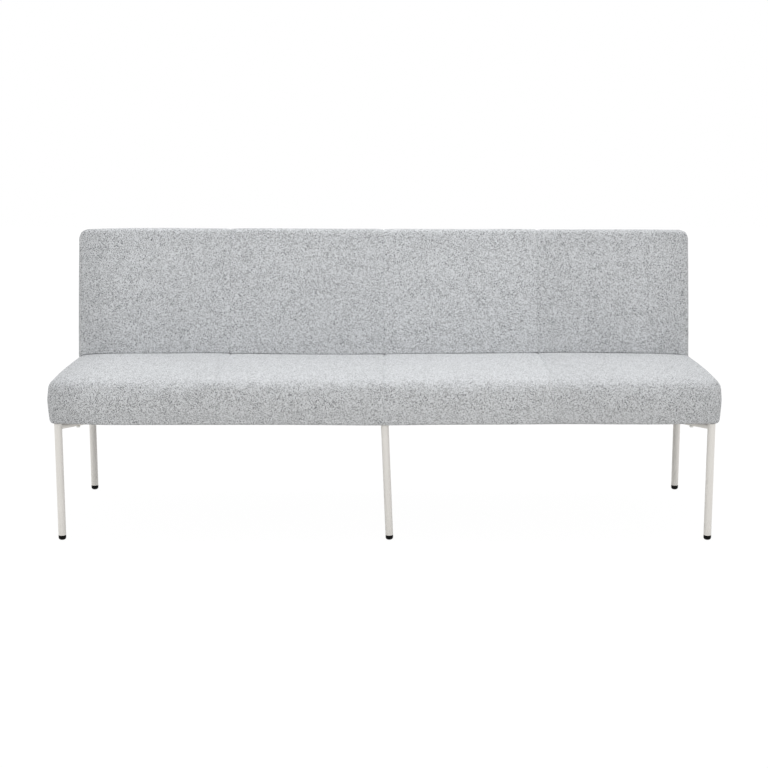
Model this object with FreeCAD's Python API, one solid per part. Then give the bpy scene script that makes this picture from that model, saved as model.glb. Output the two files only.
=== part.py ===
import FreeCAD, Part
import math
import os

# Dining sofa: an upholstered bench seat with a reclined back panel, both sewn from four
# panels of woven fabric, on five straight tubular steel legs with black push-in glides.
# Lengths are in millimetres and angles in degrees. X runs along the sofa, Y from its
# front to its back and Z upwards. The origin is on the floor, under the middle of the
# whole sofa. While the pieces are made, y = 0 is the plane of the front legs, and
# everything is moved to the origin at the end.

V = FreeCAD.Vector

# Legs
leg_end_inset = 26.0
leg_spacing_y = 564.0
leg_diameter = 22.0
leg_wall = 1.5
leg_cap_thickness = 2.0
centre_leg_lean = 2.3
arm_diameter = 18.0
arm_wall = 1.5
arm_length = 160.0
arm_end_thickness = 2.0
arm_inner_hole = 68.0
arm_outer_hole_margin = 26.0
weld_radius = 3.0
weld_trim = 20.0

# Glides pushed into the legs
glide_height = 14.0
glide_edge_radius = 7.0
glide_stem_length = 18.0
glide_barb_count = 3
glide_barb_depth = 0.7
glide_barb_start = 0.4
glide_barb_peak = 0.5
glide_stem_clearance = 0.15

# Seat, over its cover
seat_width = 1908.0
seat_underside = 342.5
seat_front_thickness = 128.0
seat_rear_thickness = 104.5
seat_front_overhang = 26.0
seat_rear_overhang = 23.0
seat_front_draw_in = 5.0
seat_front_bulge = 4.0
seat_rear_bulge = 1.5
seat_crown = 6.5
seat_front_radius = 26.0
seat_rear_radius = 14.0
seat_bottom_radius = 9.0
seat_end_radius = 28.0
seat_end_drop = 30.0
seat_end_lift = 56.0
seat_end_fall = 7.0
seat_end_fall_reach = 150.0
seat_corner_front = 34.0
seat_corner_rear = 20.0

# Back panel, over its cover, measured along and across its own slope
back_end_inset = 5.5
back_recline = 12.3
back_height = 396.5
back_thickness = 75.0
back_before_rear_legs = 84.0
back_foot_rise = 110.5
back_foot_depth = 40.0
back_front_bulge = 2.5
back_rear_bulge = 2.0
back_top_bulge = 0.6
back_front_radius = 18.0
back_rear_radius = 18.0
back_bottom_radius = 6.0
back_end_radius = 29.0
back_corner_front = 18.0
back_corner_rear = 16.0

# Sewn panels of both covers
panel_count = 4
seam_depth = 3.0
seam_width = 9.0
panel_crown = 1.5
seam_reach = 24.0
seam_section_count = 5
panel_section_count = 5
end_turns = (0.0, 18.0, 36.0, 54.0, 72.0, 90.0)
end_corner_easing = 0.65
sewing_gap = 0.001
rounding_count = 12
match_tolerance = 0.01
cut_margin = 1.0

# Fabric and padding
cover_thickness = 2.0
cover_hem = 25.0
cover_clearance = 0.3
dust_cover_thickness = 1.0
dust_cover_margin = 8.0

# Wooden seat frame
seat_end_padding = 22.0
seat_front_padding = 14.0
seat_rear_padding = 8.0
rail_thickness = 22.0
rail_height = 55.0
rail_edge_radius = 4.0
deck_thickness = 9.0
corner_plate_leg = 200.0
corner_plate_thickness = 18.0
corner_plate_tip = 25.0
centre_plate_width = 120.0
centre_plate_length = 190.0
outer_cross_rail = 490.0

# Wooden back frame
back_end_padding = 14.0
back_top_padding = 20.0
back_front_padding = 20.0
back_panel_thickness = 5.0
stile_width = 60.0
stile_depth = 40.0
stile_count = 4
back_rail_height = 22.0
back_frame_start = 18.0

# Steel brackets between seat and back
bracket_width = 40.0
bracket_thickness = 5.0
bracket_foot = 78.0
bracket_rise = 215.0
bracket_bend_radius = 5.0
bracket_inset = 39.0
bracket_slot_clearance = 1.0
bracket_fit_clearance = 0.25
bracket_foot_bolts = (18.0, 52.0)
bracket_rise_bolts = (70.0, 185.0)
block_height = 28.0
block_length = 84.0

# Fasteners
m6_diameter = 6.0
m6_head_across = 10.0
m6_head_height = 4.0
m6_length = 45.0
m6_tee_flange = 19.0
m6_tee_barrel = 7.6
m8_diameter = 8.0
m8_head_across = 13.0
m8_head_height = 5.3
m8_foot_length = 50.0
m8_stile_length = 40.0
m8_nut_height = 6.5
m8_tee_flange = 22.0
m8_tee_barrel = 10.0
tee_flange_thickness = 1.5
tee_barrel_length = 9.0
hole_clearance = 0.3
thread_clearance = 0.05
pocket_clearance = 0.5

# Levels and faces that follow from the sizes above
leg_place_x = seat_width / 2 - leg_end_inset
seat_front_height = seat_underside + seat_front_thickness
seat_rear_height = seat_underside + seat_rear_thickness
back_width = seat_width - 2 * back_end_inset
back_from_front_legs = leg_spacing_y - back_before_rear_legs
back_foot_height = seat_underside + back_foot_rise
leg_radius = leg_diameter / 2
arm_radius = arm_diameter / 2
arm_level = seat_underside - arm_radius
arm_hole_places = (arm_inner_hole, arm_length - arm_outer_hole_margin)
cover_bottom = seat_underside + dust_cover_thickness
frame_bottom = cover_bottom + cover_thickness
rail_top = frame_bottom + rail_height
deck_top = rail_top + deck_thickness
frame_end = seat_width / 2 - seat_end_padding
frame_front = seat_front_padding - seat_front_overhang
frame_rear = leg_spacing_y + seat_rear_overhang - seat_rear_padding
rail_front_inside = frame_front + rail_thickness
rail_rear_inside = frame_rear - rail_thickness
rail_end_inside = frame_end - rail_thickness
centre_rail = centre_plate_width / 2 + rail_thickness / 2
back_frame_end = back_width / 2 - back_end_padding
back_frame_top = back_height - back_top_padding
stile_front = back_front_padding + back_panel_thickness
stile_rear = stile_front + stile_depth
bracket_end = frame_end - bracket_inset
slope_sin = math.sin(math.radians(back_recline))
slope_cos = math.cos(math.radians(back_recline))


def box(x0, x1, y0, y1, z0, z1):
    """Block between two corners."""
    return Part.makeBox(x1 - x0, y1 - y0, z1 - z0, V(x0, y0, z0))


def rod(radius, start, end):
    """Round bar from one point to another."""
    axis = end - start
    return Part.makeCylinder(radius, axis.Length, start, axis)


def hexagon(across, start, end):
    """Hexagonal bar, by its width across flats."""
    axis = end - start
    side = V(0, 0, 1) if abs(axis.z) < axis.Length / 2 else V(1, 0, 0)
    side = (side - axis * (side.dot(axis) / axis.Length ** 2)).normalize()
    other = (axis.cross(side)).normalize()
    reach = across / math.sqrt(3)
    corners = []
    for step in range(7):
        angle = math.radians(60 * step)
        corners.append(start + side * (reach * math.cos(angle)) + other * (reach * math.sin(angle)))
    return Part.Face(Part.makePolygon(corners)).extrude(axis)


def group(shapes):
    """Separate solids kept together in one node."""
    return Part.makeCompound(shapes)


def on_slope(x, across, along):
    """A point of the back, from its place across its thickness and along its slope."""
    y = back_from_front_legs + along * slope_sin + across * slope_cos
    z = back_foot_height + along * slope_cos - across * slope_sin
    return V(x, y, z)


def slope_block(x0, x1, across0, across1, along0, along1):
    """Block that lies square to the reclined back."""
    corners = [
        on_slope(x0, across0, along0),
        on_slope(x0, across1, along0),
        on_slope(x0, across1, along1),
        on_slope(x0, across0, along1),
        on_slope(x0, across0, along0),
    ]
    return Part.Face(Part.makePolygon(corners)).extrude(V(x1 - x0, 0, 0))


class Side:
    """One side of a padded section, straight or bowed outwards by a bulge."""

    def __init__(self, start, end, bulge):
        chord = end - start
        self.start = start
        self.inward = V(-chord.y, chord.x, 0).normalize()
        self.centre = None
        if bulge > 0:
            half = chord.Length / 2
            self.radius = (half * half + bulge * bulge) / (2 * bulge)
            self.centre = (start + end) * 0.5 + self.inward * (self.radius - bulge)

    def depth(self, point):
        """How far a point lies inside the side, and the direction straight in."""
        if self.centre is None:
            return (point - self.start).dot(self.inward), self.inward
        inward = self.centre - point
        depth = self.radius - inward.Length
        return depth, inward.normalize()

    def edge(self, start, end, place):
        """The side between two points on it, as a line or an arc."""
        if self.centre is None:
            return Part.LineSegment(place(start), place(end)).toShape()
        return arc_about(self.centre, self.radius, start, end, place)


def arc_about(centre, radius, start, end, place):
    """Arc of less than a half circle from one point to another."""
    outward = ((start + end) * 0.5 - centre).normalize()
    return Part.Arc(place(start), place(centre + outward * radius), place(end)).toShape()


def round_centre(before, after, radius, corner):
    """Centre of the round that touches two sides near their corner."""
    centre = corner + (before.inward + after.inward) * radius
    for _ in range(rounding_count):
        depth_a, in_a = before.depth(centre)
        depth_b, in_b = after.depth(centre)
        miss_a = radius - depth_a
        miss_b = radius - depth_b
        cross = in_a.x * in_b.y - in_a.y * in_b.x
        step_u = (miss_a * in_b.y - miss_b * in_a.y) / cross
        step_v = (miss_b * in_a.x - miss_a * in_b.x) / cross
        centre = centre + V(step_u, step_v, 0)
    return centre


def padded_section(corners, radii, bulges, place):
    """Closed wire of lines and arcs, tangent all the way round."""
    count = len(corners)
    sides = [Side(corners[i], corners[(i + 1) % count], bulges[i]) for i in range(count)]
    rounds = []
    for i in range(count):
        centre = round_centre(sides[i - 1], sides[i], radii[i], corners[i])
        depth_in, normal_in = sides[i - 1].depth(centre)
        depth_out, normal_out = sides[i].depth(centre)
        rounds.append((centre, centre - normal_in * depth_in, centre - normal_out * depth_out))
    edges = []
    for i in range(count):
        centre, enter, leave = rounds[i]
        arrive = rounds[(i + 1) % count][1]
        edges.append(arc_about(centre, radii[i], enter, leave, place))
        edges.append(sides[i].edge(leave, arrive, place))
    return Part.Wire(edges)


def swell(x, panel):
    """How far the padding stands out at x: a valley at each seam and a low crown between."""
    nearest = round(x / panel) * panel
    nearest = max(-panel * (panel_count / 2 - 1), min(panel * (panel_count / 2 - 1), nearest))
    valley = seam_depth * math.exp(-abs(x - nearest) / seam_width)
    crown = panel_crown * abs(math.sin(math.pi * x / panel))
    return crown - valley


def end_fall(x):
    """How much lower the rear of the seat's top lies towards its ends."""
    reach = max(0.0, abs(x) - (seat_width / 2 - seat_end_fall_reach))
    return seat_end_fall * (reach / seat_end_fall_reach) ** 2


def seat_section(x, skin, turn):
    """Section of the seat across its depth, a skin inside its cover, turned into the end."""
    fade = 1 - math.cos(math.radians(turn))
    inset = skin - swell(min(abs(x), seat_width / 2 - seat_end_radius), seat_width / panel_count)
    ease = 1 - end_corner_easing * fade
    front = inset + (seat_corner_front - skin) * fade - seat_front_overhang
    rear = leg_spacing_y + seat_rear_overhang - inset - (seat_corner_rear - skin) * fade
    drop = inset + (seat_end_drop - skin) * fade
    bottom = cover_bottom + skin + (seat_end_lift - skin) * fade ** 2
    corners = [
        V(front + seat_front_draw_in, bottom),
        V(rear, bottom),
        V(rear, seat_rear_height - drop - end_fall(x)),
        V(front, seat_front_height - drop),
    ]
    radii = [seat_bottom_radius, seat_bottom_radius, seat_rear_radius, seat_front_radius]
    radii = [(radius - skin) * ease for radius in radii]
    bulges = [0, seat_rear_bulge, seat_crown, seat_front_bulge]
    return padded_section(corners, radii, bulges, lambda p: V(x, p.x, p.y))


def back_section(x, skin, turn):
    """Section of the back across its thickness, a skin inside its cover, turned into the end."""
    fade = 1 - math.cos(math.radians(turn))
    inset = skin - swell(min(abs(x), back_width / 2 - back_end_radius), seat_width / panel_count)
    ease = 1 - end_corner_easing * fade
    front = inset + (back_corner_front - skin) * fade
    rear = back_thickness - skin - (back_corner_rear - skin) * fade
    top = back_height - inset - (back_end_radius - skin) * fade
    corners = [
        V(front, -back_foot_depth),
        V(rear, -back_foot_depth),
        V(rear, top),
        V(front, top),
    ]
    radii = [back_bottom_radius, back_bottom_radius, back_rear_radius, back_front_radius]
    radii = [(radius - skin) * ease for radius in radii]
    bulges = [0, back_rear_bulge, back_top_bulge, back_front_bulge]
    return padded_section(corners, radii, bulges, lambda p: on_slope(x, p.x, p.y))


def even_places(start, end, count):
    """Evenly spaced places from a start to an end, both included."""
    return [start + (end - start) * i / (count - 1) for i in range(count)]


def padded_form(section, width, end_radius, skin):
    """Closed padded form: four sewn panels with a valley at each seam, and two rounded ends."""
    panel = seat_width / panel_count
    body_end = width / 2 - end_radius
    seams = [(i - panel_count / 2) * panel for i in range(1, panel_count)]
    stops = [-body_end]
    for seam in seams:
        stops += [seam - seam_reach, seam, seam + seam_reach]
    stops.append(body_end)
    strips = []
    for start, end in zip(stops, stops[1:]):
        count = panel_section_count if end - start > 2 * seam_reach else seam_section_count
        strips.append([section(x, skin, 0.0) for x in even_places(start, end, count)])
    ends = []
    for side in (-1, 1):
        wires = []
        for turn in end_turns:
            reach = (end_radius - skin) * math.sin(math.radians(turn))
            wires.append(section(side * (body_end + reach), skin, turn))
        strips.append(wires)
        ends.append(Part.Face(wires[-1]))
    faces = ends + [face for wires in strips for face in Part.makeLoft(wires, False).Faces]
    shell = Part.makeCompound(faces)
    shell.sewShape(sewing_gap)
    form = Part.Solid(shell.Shells[0])
    return form if form.Volume > 0 else form.reversed()


def seat_form(skin):
    """Outer form of the seat, or the form a skin inside it."""
    return padded_form(seat_section, seat_width, seat_end_radius, skin)


def back_form(skin):
    """Outer form of the back, or the form a skin inside it, down into the seat."""
    return padded_form(back_section, back_width, back_end_radius, skin)


def weldment(lean, direction):
    """Leg tube with its arm, welded and drilled, standing at the leg's own axis."""
    lean_tan = math.tan(math.radians(lean))
    lean_cos = math.cos(math.radians(lean))
    leg_top = arm_level + arm_radius + weld_trim
    tube_length = (arm_level - leg_radius * math.sin(math.radians(lean))) / lean_cos - glide_height
    axis_top = V(0, 0, arm_level)
    along = V(direction[0], direction[1], 0).normalize()
    arm_end = axis_top + along * arm_length
    leg = rod(leg_radius, V(0, 0, arm_level - tube_length), V(0, 0, leg_top))
    arm = rod(arm_radius, axis_top, arm_end)
    steel = leg.fuse(arm)
    seams = [edge for edge in steel.Edges if is_weld_seam(edge, axis_top, along)]
    steel = steel.makeFillet(weld_radius, seams)
    bore_top = arm_level + arm_radius - leg_cap_thickness - leg_radius * lean_tan
    bore = rod(leg_radius - leg_wall, V(0, 0, arm_level - tube_length), V(0, 0, bore_top))
    arm_bore = rod(arm_radius - arm_wall, axis_top, arm_end - along * arm_end_thickness)
    arm_bore = arm_bore.cut(rod(leg_radius, V(0, 0, 0), V(0, 0, leg_top)))
    steel = steel.cut(bore).cut(arm_bore)
    steel.rotate(axis_top, V(0, 1, 0), -lean)
    reach = arm_length + cut_margin
    steel = steel.cut(box(-reach, reach, -reach, reach, seat_underside, seat_underside + reach))
    for place in arm_hole_places:
        foot = along * place
        top = foot + V(0, 0, seat_underside + cut_margin)
        steel = steel.cut(rod(m6_diameter / 2 + hole_clearance, foot, top))
    return steel


def is_weld_seam(edge, axis_top, along):
    """True for the curve where the arm meets the leg tube."""
    if edge.Curve.TypeId in ("Part::GeomCircle", "Part::GeomLine"):
        return False
    middle = edge.valueAt((edge.FirstParameter + edge.LastParameter) / 2)
    return (middle - axis_top).dot(along) > 0


def glide(lean):
    """Black push-in foot, by its profile turned about the leg's axis."""
    stem_radius = leg_radius - leg_wall - glide_stem_clearance
    core_radius = stem_radius - glide_barb_depth
    pitch = glide_stem_length / glide_barb_count
    edge = glide_edge_radius
    edge_mid = edge * (1 - math.sqrt(0.5))
    lines = [V(0, 0, 0), V(leg_radius - edge, 0, 0)]
    arc = Part.Arc(V(leg_radius - edge, 0, 0), V(leg_radius - edge_mid, 0, edge_mid), V(leg_radius, 0, edge))
    outline = [V(leg_radius, 0, edge), V(leg_radius, 0, glide_height), V(core_radius, 0, glide_height)]
    for barb in range(glide_barb_count):
        base = glide_height + pitch * barb
        outline.append(V(core_radius, 0, base + pitch * glide_barb_start))
        outline.append(V(stem_radius, 0, base + pitch * glide_barb_peak))
        outline.append(V(core_radius, 0, base + pitch))
    outline.append(V(0, 0, glide_height + glide_stem_length))
    outline.append(V(0, 0, 0))
    wire = Part.Wire([Part.makePolygon(lines), arc.toShape(), Part.makePolygon(outline)])
    foot = Part.Face(wire).revolve(V(0, 0, 0), V(0, 0, 1), 360)
    drop = (arm_level - leg_radius * math.sin(math.radians(lean))) / math.cos(math.radians(lean))
    foot.translate(V(0, 0, arm_level - drop))
    foot.rotate(V(0, 0, arm_level), V(0, 1, 0), -lean)
    return foot


def leg_places():
    """Name, place, lean and arm direction of each leg."""
    half = leg_place_x
    return [
        ("front_left", V(-half, 0, 0), 0.0, (1, 1)),
        ("front_right", V(half, 0, 0), 0.0, (-1, 1)),
        ("rear_left", V(-half, leg_spacing_y, 0), 0.0, (1, -1)),
        ("rear_right", V(half, leg_spacing_y, 0), 0.0, (-1, -1)),
        ("centre", V(0, 0, 0), centre_leg_lean, (0, 1)),
    ]


def make_legs(parts):
    """Five welded legs, their glides and the bolts and tee nuts that hold them."""
    bolts = []
    nuts = []
    for name, place, lean, direction in leg_places():
        leg = weldment(lean, direction)
        foot = glide(lean)
        leg.translate(place)
        foot.translate(place)
        parts[name + "_leg"] = leg
        parts[name + "_glide"] = foot
        along = V(direction[0], direction[1], 0).normalize()
        for reach in arm_hole_places:
            spot = place + along * reach
            nut_seat = spot + V(0, 0, frame_bottom + corner_plate_thickness)
            bolts.append(leg_bolt(spot))
            nuts.append(tee_nut(nut_seat, V(0, 0, 1), m6_sizes()))
    parts["leg_bolts"] = group(bolts)
    parts["leg_tee_nuts"] = group(nuts)


def m6_sizes():
    """Bolt diameter, flange and barrel diameters of the small tee nuts."""
    return m6_diameter, m6_tee_flange, m6_tee_barrel


def m8_sizes():
    """Bolt diameter, flange and barrel diameters of the large tee nuts."""
    return m8_diameter, m8_tee_flange, m8_tee_barrel


def leg_bolt(spot):
    """Hexagon bolt that goes up through an arm into the seat frame."""
    under_head = spot + V(0, 0, arm_level - arm_radius)
    head = hexagon(m6_head_across, under_head - V(0, 0, m6_head_height), under_head)
    shank = rod(m6_diameter / 2, under_head, under_head + V(0, 0, m6_length))
    return head.fuse(shank)


def tee_nut(seat, outward, sizes):
    """Tee nut whose flange lies on a face and whose barrel goes into the wood."""
    diameter, flange_across, barrel_across = sizes
    flange = rod(flange_across / 2, seat, seat + outward * tee_flange_thickness)
    barrel = rod(barrel_across / 2, seat - outward * tee_barrel_length, seat + outward * tee_flange_thickness)
    bore_start = seat - outward * (tee_barrel_length + cut_margin)
    bore_end = seat + outward * (tee_flange_thickness + cut_margin)
    bore = rod(diameter / 2 + thread_clearance, bore_start, bore_end)
    return flange.fuse(barrel).cut(bore)


def tee_nut_hole(seat, outward, depth, sizes):
    """What is drilled for a tee nut and its bolt."""
    diameter, _, barrel_across = sizes
    top = seat + outward * cut_margin
    barrel = rod(barrel_across / 2 + hole_clearance, seat - outward * (tee_barrel_length + cut_margin), top)
    bolt = rod(diameter / 2 + hole_clearance, seat - outward * depth, top)
    return barrel.fuse(bolt)


def plate_holes():
    """Holes for the leg bolts in the plates of the seat frame and in the dust cover."""
    plate_top = frame_bottom + corner_plate_thickness
    depth = plate_top - seat_underside + cut_margin
    holes = []
    for _, place, _, direction in leg_places():
        along = V(direction[0], direction[1], 0).normalize()
        for reach in arm_hole_places:
            seat = place + along * reach + V(0, 0, plate_top)
            holes.append(tee_nut_hole(seat, V(0, 0, 1), depth, m6_sizes()))
    return group(holes)


def eased_rail(x0, x1, y0, y1, outside):
    """Rail of the seat frame, with the lower edge of its outside rounded for the cover."""
    rail = box(x0, x1, y0, y1, frame_bottom, rail_top)
    edges = []
    for edge in rail.Edges:
        middle = edge.CenterOfMass
        low = abs(middle.z - frame_bottom) < match_tolerance
        if low and (middle - outside(middle)).Length < match_tolerance:
            edges.append(edge)
    return rail.makeFillet(rail_edge_radius, edges)


def make_seat_frame(parts):
    """Rails, cross rails, plates, blocks and deck of the seat."""
    end = frame_end
    front = eased_rail(-end, end, frame_front, rail_front_inside, lambda p: V(p.x, frame_front, p.z))
    rear = eased_rail(-end, end, rail_rear_inside, frame_rear, lambda p: V(p.x, frame_rear, p.z))
    corner_easing = rail_edge_easing()
    parts["seat_front_rail"] = front.cut(corner_easing)
    parts["seat_rear_rail"] = rear.cut(corner_easing)
    for name, side in (("left", -1), ("right", 1)):
        x0, x1 = sorted((side * rail_end_inside, side * end))
        outer = side * end
        rail = eased_rail(x0, x1, rail_front_inside, rail_rear_inside, lambda p, x=outer: V(x, p.y, p.z))
        parts["seat_%s_end_rail" % name] = rail
    places = (-outer_cross_rail, -centre_rail, centre_rail, outer_cross_rail)
    for number, x in enumerate(places, 1):
        half = rail_thickness / 2
        rail = box(x - half, x + half, rail_front_inside, rail_rear_inside, frame_bottom, rail_top)
        parts["seat_cross_rail_%d" % number] = rail
    holes = plate_holes()
    for name, plate in corner_plates():
        parts["seat_corner_plate_" + name] = plate.cut(holes)
    half = centre_plate_width / 2
    plate = box(-half, half, rail_front_inside, rail_front_inside + centre_plate_length,
                frame_bottom, frame_bottom + corner_plate_thickness)
    parts["centre_leg_plate"] = plate.cut(holes)
    deck = box(-end, end, frame_front, frame_rear, rail_top, deck_top)
    foot_holes = group(bracket_foot_holes())
    parts["seat_deck"] = deck.cut(foot_holes)
    for number, x in enumerate(bracket_places(), 1):
        parts["bracket_block_%d" % number] = bracket_block(x).cut(foot_holes)


def rail_edge_easing():
    """What is rounded off the ends of the long rails, under the end covers."""
    pieces = []
    radius = rail_edge_radius
    for side in (-1, 1):
        x = side * frame_end
        inner = side * (frame_end - radius)
        x0, x1 = sorted((inner, x))
        corner = box(x0, x1, frame_front, frame_rear, frame_bottom, frame_bottom + radius)
        level = frame_bottom + radius
        pieces.append(corner.cut(rod(radius, V(inner, frame_front, level), V(inner, frame_rear, level))))
    return group(pieces)


def corner_plates():
    """Triangular plates let in between the rails, one over each corner leg."""
    plates = []
    sides = (
        ("front_left", -1, rail_front_inside, 1),
        ("front_right", 1, rail_front_inside, 1),
        ("rear_left", -1, rail_rear_inside, -1),
        ("rear_right", 1, rail_rear_inside, -1),
    )
    for name, side, wall, inward in sides:
        x = side * rail_end_inside
        far_x = x - side * corner_plate_leg
        far_y = wall + inward * corner_plate_leg
        corners = [
            V(x, wall, frame_bottom),
            V(far_x, wall, frame_bottom),
            V(far_x, wall + inward * corner_plate_tip, frame_bottom),
            V(x - side * corner_plate_tip, far_y, frame_bottom),
            V(x, far_y, frame_bottom),
            V(x, wall, frame_bottom),
        ]
        plates.append((name, Part.Face(Part.makePolygon(corners)).extrude(V(0, 0, corner_plate_thickness))))
    return plates


def bracket_places():
    """Where the brackets and their stiles stand along the sofa."""
    gap = 2 * bracket_end / (stile_count - 1)
    return [-bracket_end + gap * i for i in range(stile_count)]


def slope_level(across, level):
    """Point of a line parallel to the back at a height above the floor."""
    along = (level - back_foot_height + across * slope_sin) / slope_cos
    return on_slope(0, across, along)


def bracket(x, grow):
    """Bent flat bar: a foot on the deck and a riser let into the back of a stile."""
    rear = stile_rear + grow
    front = stile_rear - bracket_thickness - grow
    low = deck_top - grow
    high = deck_top + bracket_thickness + grow
    half = bracket_width / 2 + grow
    heel = slope_level(rear, low)
    inside = slope_level(front, high)
    toe = slope_level(stile_rear, deck_top).y - bracket_foot - grow
    corners = [
        V(0, toe, low),
        heel,
        on_slope(0, rear, bracket_rise + grow),
        on_slope(0, front, bracket_rise + grow),
        inside,
        V(0, toe, high),
        V(0, toe, low),
    ]
    bar = Part.Face(Part.makePolygon(corners)).extrude(V(2 * half, 0, 0))
    bar.translate(V(-half, 0, 0))
    inner_edge = [edge for edge in bar.Edges if edge_through(edge, inside)]
    bar = bar.makeFillet(bracket_bend_radius, inner_edge)
    outer_edge = [edge for edge in bar.Edges if edge_through(edge, heel)]
    bar = bar.makeFillet(bracket_bend_radius + bracket_thickness, outer_edge)
    bar.translate(V(x, 0, 0))
    return bar


def edge_through(edge, point):
    """True for the edge along X that goes through a point."""
    middle = edge.CenterOfMass
    return abs(middle.y - point.y) < match_tolerance and abs(middle.z - point.z) < match_tolerance


def bracket_foot_spots(x):
    """Where a bracket's foot is bolted to the deck."""
    toe = slope_level(stile_rear, deck_top).y - bracket_foot
    return [V(x, toe + reach, deck_top) for reach in bracket_foot_bolts]


def bracket_foot_holes():
    """Holes through the foot, the deck and the block under it."""
    holes = []
    for x in bracket_places():
        for spot in bracket_foot_spots(x):
            low = spot - V(0, 0, deck_thickness + block_height + cut_margin)
            high = spot + V(0, 0, bracket_thickness + cut_margin)
            holes.append(rod(m8_diameter / 2 + hole_clearance, low, high))
    return holes


def bracket_rise_spots(x):
    """Where a bracket's riser is bolted to its stile, on the riser's rear face."""
    return [on_slope(x, stile_rear, along) for along in bracket_rise_bolts]


def bracket_rise_holes():
    """Holes through the risers and the stiles, with room for the tee nuts."""
    forward = V(0, -slope_cos, slope_sin)
    holes = []
    for x in bracket_places():
        for spot in bracket_rise_spots(x):
            face = spot + forward * (stile_depth - tee_flange_thickness)
            holes.append(tee_nut_hole(face, forward, stile_depth + cut_margin, m8_sizes()))
            front = face + forward * (tee_flange_thickness + cut_margin)
            holes.append(rod(m8_tee_flange / 2 + hole_clearance, face, front))
    return holes


def bracket_block(x):
    """Hardwood block under the deck that takes the bolts of a bracket's foot."""
    half = rail_end_inside - bracket_end
    toe = bracket_foot_spots(x)[0].y - bracket_foot_bolts[0]
    return box(x - half, x + half, toe, toe + block_length, rail_top - block_height, rail_top)


def make_brackets(parts):
    """Brackets between seat and back, with their bolts and nuts."""
    foot_holes = group(bracket_foot_holes())
    rise_holes = group(bracket_rise_holes())
    forward = V(0, -slope_cos, slope_sin)
    foot_bolts = []
    nuts = []
    rise_bolts = []
    tee_nuts = []
    for number, x in enumerate(bracket_places(), 1):
        parts["back_bracket_%d" % number] = bracket(x, 0.0).cut(foot_holes).cut(rise_holes)
        for spot in bracket_foot_spots(x):
            under_head = spot + V(0, 0, bracket_thickness)
            foot_bolts.append(m8_bolt(under_head, V(0, 0, -1), m8_foot_length))
            nut_top = V(spot.x, spot.y, rail_top - block_height)
            nut = hexagon(m8_head_across, nut_top - V(0, 0, m8_nut_height), nut_top)
            bore_low = nut_top - V(0, 0, m8_nut_height + cut_margin)
            bore = rod(m8_diameter / 2 + thread_clearance, bore_low, nut_top + V(0, 0, cut_margin))
            nuts.append(nut.cut(bore))
        for spot in bracket_rise_spots(x):
            rise_bolts.append(m8_bolt(spot, forward, m8_stile_length))
            face = spot + forward * (stile_depth - tee_flange_thickness)
            tee_nuts.append(tee_nut(face, forward, m8_sizes()))
    parts["bracket_foot_bolts"] = group(foot_bolts)
    parts["bracket_foot_nuts"] = group(nuts)
    parts["bracket_stile_bolts"] = group(rise_bolts)
    parts["bracket_stile_tee_nuts"] = group(tee_nuts)


def m8_bolt(under_head, direction, length):
    """Hexagon bolt by the place under its head and the way its shank points."""
    head = hexagon(m8_head_across, under_head, under_head - direction * m8_head_height)
    shank = rod(m8_diameter / 2, under_head, under_head + direction * length)
    return head.fuse(shank)


def make_back_frame(parts):
    """Stiles, rails and plywood panel of the back."""
    end = back_frame_end
    top = back_frame_top
    rise_holes = group(bracket_rise_holes())
    recesses = group([bracket(x, bracket_fit_clearance) for x in bracket_places()])
    top_rail = slope_block(-end, end, stile_front, stile_rear, top - back_rail_height, top)
    parts["back_top_rail"] = top_rail
    bottom = back_frame_start + back_rail_height
    bottom_rail = slope_block(-end, end, stile_front, stile_rear, back_frame_start, bottom)
    parts["back_bottom_rail"] = bottom_rail.cut(recesses)
    for number, x in enumerate(bracket_places(), 1):
        outer = max(-end + stile_width / 2, min(end - stile_width / 2, x))
        stile = slope_block(outer - stile_width / 2, outer + stile_width / 2,
                            stile_front, stile_rear, bottom, top - back_rail_height)
        parts["back_stile_%d" % number] = stile.cut(recesses).cut(rise_holes)
    parts["back_panel"] = slope_block(-end, end, back_front_padding, stile_front, back_frame_start, top)


def bracket_pockets(grow):
    """Room around the brackets and their bolt heads in foam and fabric."""
    forward = V(0, -slope_cos, slope_sin)
    head_reach = m8_head_across / math.sqrt(3)
    pockets = []
    for x in bracket_places():
        pockets.append(bracket(x, grow))
        for spot in bracket_foot_spots(x):
            low = spot + V(0, 0, bracket_thickness)
            pockets.append(rod(head_reach + grow, low, low + V(0, 0, m8_head_height + grow)))
        for spot in bracket_rise_spots(x):
            pockets.append(rod(head_reach + grow, spot, spot - forward * (m8_head_height + grow)))
    return group(pockets)


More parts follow.
